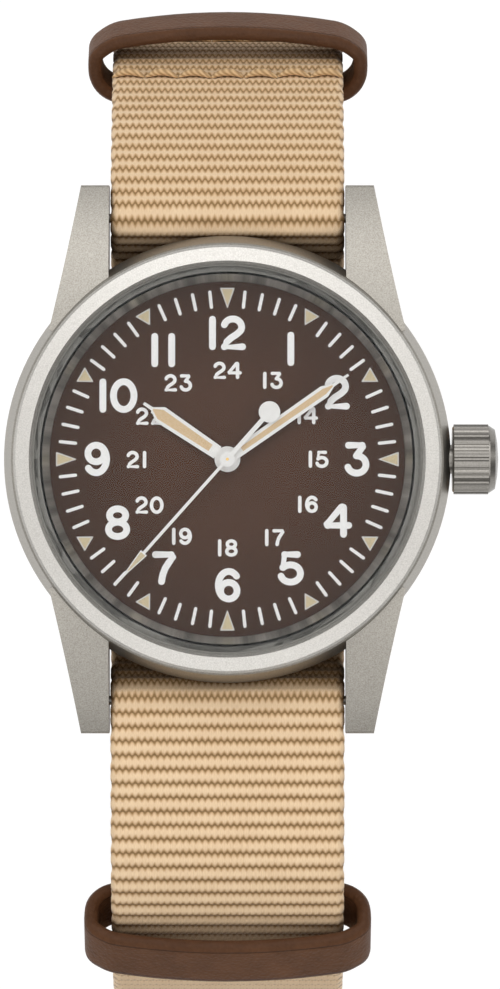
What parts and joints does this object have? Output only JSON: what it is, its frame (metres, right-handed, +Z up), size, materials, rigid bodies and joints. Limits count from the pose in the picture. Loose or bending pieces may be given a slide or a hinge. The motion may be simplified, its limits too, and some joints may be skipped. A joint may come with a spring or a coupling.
{
  "type": "wristwatch",
  "caption": "Hand-wound field watch with a round blasted steel case, brown dial, ribbed nylon pass-through strap and leather keepers",
  "frame": {"origin": "on the plane the strap's flat tail rests on, straight under the centre of the dial", "axes": "+Z is up and leaves the dial, +Y points to twelve o'clock, +X points to the crown at three o'clock"},
  "size_m": [0.0423, 0.0867, 0.0502],
  "materials": {
    "blasted_steel": "bead-blasted stainless steel, matt and even",
    "blasted_steel_bezel": "bead-blasted stainless steel",
    "sapphire": "clear flat sapphire, anti-reflection coated inside",
    "white_nylon_gasket": "translucent grey nylon",
    "polished_flange": "satin metal ring in shade",
    "black_rubber": "soft black rubber",
    "turned_steel": "fine-turned steel",
    "crown_steel": "turned and fluted stainless steel",
    "holder_plastic": "moulded natural acetal",
    "dial_paint": "matt brown lacquer on brass",
    "hand_white": "white painted brass",
    "lume": "beige luminous paint",
    "nickel_plate": "rhodium-plated brass, lightly grained",
    "wheel_brass": "polished brass",
    "movement_steel": "hardened polished steel",
    "balance_gold": "gilt",
    "hairspring_blue": "blued alloy strip",
    "ruby": "synthetic ruby",
    "beige_webbing": "ribbed woven nylon",
    "beige_thread": "heavy waxed thread",
    "brown_leather": "smooth dark brown leather, burnished edges",
    "buckle_steel": "bead-blasted stainless steel"
  },
  "bodies": {
    "watch": {"case_middle": "blasted_steel", "bezel": "blasted_steel_bezel", "crystal": "sapphire", "crystal_gasket": "white_nylon_gasket", "flange_ring": "polished_flange", "case_back": "blasted_steel", "case_back_gasket": "black_rubber", "crown_tube": "turned_steel", "movement_holder": "holder_plastic", "dial": "dial_paint", "main_plate": "nickel_plate", "barrel_bridge": "nickel_plate", "train_bridge": "nickel_plate", "pallet_bridge": "nickel_plate", "balance_cock": "nickel_plate", "jewels": "ruby", "bridge_screws": "movement_steel", "spring_bar_tubes": "turned_steel", "main_strap": "beige_webbing", "under_strap": "beige_webbing", "top_keeper": "brown_leather", "buckle_keeper": "brown_leather", "ring_keeper": "brown_leather", "seam_stitches": "beige_thread"},
    "seconds": {"fourth_wheel": "wheel_brass", "seconds_hand": "hand_white", "seconds_hand_lume": "lume"},
    "third": {"third_wheel": "wheel_brass"},
    "second": {"second_wheel": "wheel_brass"},
    "barrel": {"barrel_drum": "nickel_plate", "mainspring": "movement_steel"},
    "escape": {"escape_wheel": "movement_steel"},
    "pallet": {"pallet_fork": "movement_steel"},
    "balance": {"balance_wheel": "balance_gold", "hairspring": "hairspring_blue"},
    "minute": {"cannon_pinion": "movement_steel", "minute_hand": "hand_white", "minute_hand_lume": "lume"},
    "hour": {"hour_wheel": "wheel_brass", "hour_hand": "hand_white", "hour_hand_lume": "lume"},
    "minute_wheel": {"minute_wheel": "wheel_brass"},
    "crown_slide": {"crown_gasket": "black_rubber"},
    "crown": {"crown": "crown_steel", "winding_stem": "turned_steel"},
    "winding_pinion": {"winding_pinion": "movement_steel"},
    "sliding_pinion": {"sliding_pinion": "movement_steel"},
    "crown_wheel": {"crown_wheel": "movement_steel"},
    "ratchet": {"ratchet_wheel": "movement_steel", "barrel_arbor": "movement_steel"},
    "click": {"click": "movement_steel"},
    "setting_lever": {"setting_lever": "movement_steel"},
    "bar_tip_12_right": {"bar_tip_12_right": "turned_steel"},
    "bar_tip_12_left": {"bar_tip_12_left": "turned_steel"},
    "bar_tip_6_right": {"bar_tip_6_right": "turned_steel"},
    "bar_tip_6_left": {"bar_tip_6_left": "turned_steel"},
    "buckle": {"buckle_frame": "buckle_steel", "buckle_bar": "buckle_steel"},
    "tongue": {"buckle_tongue": "buckle_steel"}
  },
  "joints": [
    {"name": "seconds_turn", "type": "hinge", "parent": "watch", "child": "seconds", "pos_m": [0, 0, 0.0443], "axis": [0, 0, -1], "continuous": true},
    {"name": "third_wheel_turn", "type": "hinge", "parent": "watch", "child": "third", "pos_m": [-0.00294, 0.0017, 0.0443], "axis": [0, 0, -1], "continuous": true},
    {"name": "second_wheel_turn", "type": "hinge", "parent": "watch", "child": "second", "pos_m": [0.00002, 0.00446, 0.0443], "axis": [0, 0, -1], "continuous": true},
    {"name": "barrel_turn", "type": "hinge", "parent": "watch", "child": "barrel", "pos_m": [0.00492, 0.0056, 0.0443], "axis": [0, 0, -1], "continuous": true},
    {"name": "escape_wheel_turn", "type": "hinge", "parent": "watch", "child": "escape", "pos_m": [0.0008, -0.00298, 0.0443], "axis": [0, 0, -1], "continuous": true},
    {"name": "pallet_swing", "type": "hinge", "parent": "watch", "child": "pallet", "pos_m": [-0.00128, -0.00436, 0.0443], "axis": [0, 0, -1], "range_deg": [-6, 6]},
    {"name": "balance_swing", "type": "hinge", "parent": "watch", "child": "balance", "pos_m": [-0.00461, -0.00659, 0.0443], "axis": [0, 0, -1], "range_deg": [-150, 150], "stiffness_Nm_per_rad": 0.000002},
    {"name": "minute_hand_turn", "type": "hinge", "parent": "watch", "child": "minute", "pos_m": [0, 0, 0.0459], "axis": [0, 0, -1], "continuous": true},
    {"name": "hour_hand_turn", "type": "hinge", "parent": "watch", "child": "hour", "pos_m": [0, 0, 0.0461], "axis": [0, 0, -1], "continuous": true},
    {"name": "minute_wheel_turn", "type": "hinge", "parent": "watch", "child": "minute_wheel", "pos_m": [0.00154, -0.00184, 0.0459], "axis": [0, 0, -1], "continuous": true},
    {"name": "crown_pull", "type": "slide", "parent": "watch", "child": "crown_slide", "axis": [1, 0, 0], "range_m": [0, 0.0011]},
    {"name": "crown_turn", "type": "hinge", "parent": "crown_slide", "child": "crown", "pos_m": [0.0102, 0, 0.0445], "axis": [1, 0, 0], "continuous": true},
    {"name": "winding_pinion_turn", "type": "hinge", "parent": "watch", "child": "winding_pinion", "pos_m": [0.0102, 0, 0.0445], "axis": [1, 0, 0], "continuous": true},
    {"name": "sliding_pinion_turn", "type": "hinge", "parent": "watch", "child": "sliding_pinion", "pos_m": [0.0102, 0, 0.0445], "axis": [1, 0, 0], "continuous": true},
    {"name": "crown_wheel_turn", "type": "hinge", "parent": "watch", "child": "crown_wheel", "pos_m": [0.0062, 0, 0.0427], "axis": [0, 0, -1], "continuous": true},
    {"name": "ratchet_turn", "type": "hinge", "parent": "watch", "child": "ratchet", "pos_m": [0.00492, 0.0056, 0.0427], "axis": [0, 0, -1], "continuous": true},
    {"name": "click_lift", "type": "hinge", "parent": "watch", "child": "click", "pos_m": [0.00082, 0.00846, 0.0427], "axis": [0, 0, -1], "range_deg": [0, 12], "stiffness_Nm_per_rad": 0.00002},
    {"name": "setting_lever_swing", "type": "hinge", "parent": "watch", "child": "setting_lever", "pos_m": [0.0102, -0.0023, 0.0462], "axis": [0, 0, 1], "range_deg": [-29.81, 0.5]},
    {"name": "bar_tip_12_right_press", "type": "slide", "parent": "watch", "child": "bar_tip_12_right", "axis": [-1, 0, 0], "range_m": [0, 0.0011], "stiffness_N_per_m": 900},
    {"name": "bar_tip_12_left_press", "type": "slide", "parent": "watch", "child": "bar_tip_12_left", "axis": [1, 0, 0], "range_m": [0, 0.0011], "stiffness_N_per_m": 900},
    {"name": "bar_tip_6_right_press", "type": "slide", "parent": "watch", "child": "bar_tip_6_right", "axis": [-1, 0, 0], "range_m": [0, 0.0011], "stiffness_N_per_m": 900},
    {"name": "bar_tip_6_left_press", "type": "slide", "parent": "watch", "child": "bar_tip_6_left", "axis": [1, 0, 0], "range_m": [0, 0.0011], "stiffness_N_per_m": 900},
    {"name": "buckle_tilt", "type": "hinge", "parent": "watch", "child": "buckle", "pos_m": [0, -0.00364, 0.01484], "axis": [1, 0, 0], "range_deg": [-90, 15]},
    {"name": "tongue_swing", "type": "hinge", "parent": "buckle", "child": "tongue", "pos_m": [0, -0.00364, 0.01484], "axis": [1, 0, 0], "range_deg": [0, 90]}
  ],
  "couplings": [
    {"joint": "third_wheel_turn", "follows": "seconds_turn", "ratio": -0.13333},
    {"joint": "second_wheel_turn", "follows": "seconds_turn", "ratio": 0.016667},
    {"joint": "barrel_turn", "follows": "seconds_turn", "ratio": -0.002381},
    {"joint": "escape_wheel_turn", "follows": "seconds_turn", "ratio": -10},
    {"joint": "hour_hand_turn", "follows": "minute_hand_turn", "ratio": 0.083333},
    {"joint": "minute_wheel_turn", "follows": "minute_hand_turn", "ratio": -0.33333},
    {"joint": "winding_pinion_turn", "follows": "crown_turn", "ratio": 1},
    {"joint": "sliding_pinion_turn", "follows": "crown_turn", "ratio": 1},
    {"joint": "crown_wheel_turn", "follows": "crown_turn", "ratio": 0.5},
    {"joint": "ratchet_turn", "follows": "crown_turn", "ratio": -0.32},
    {"joint": "setting_lever_swing", "follows": "crown_pull", "rad_per_m": -465.12}
  ]
}
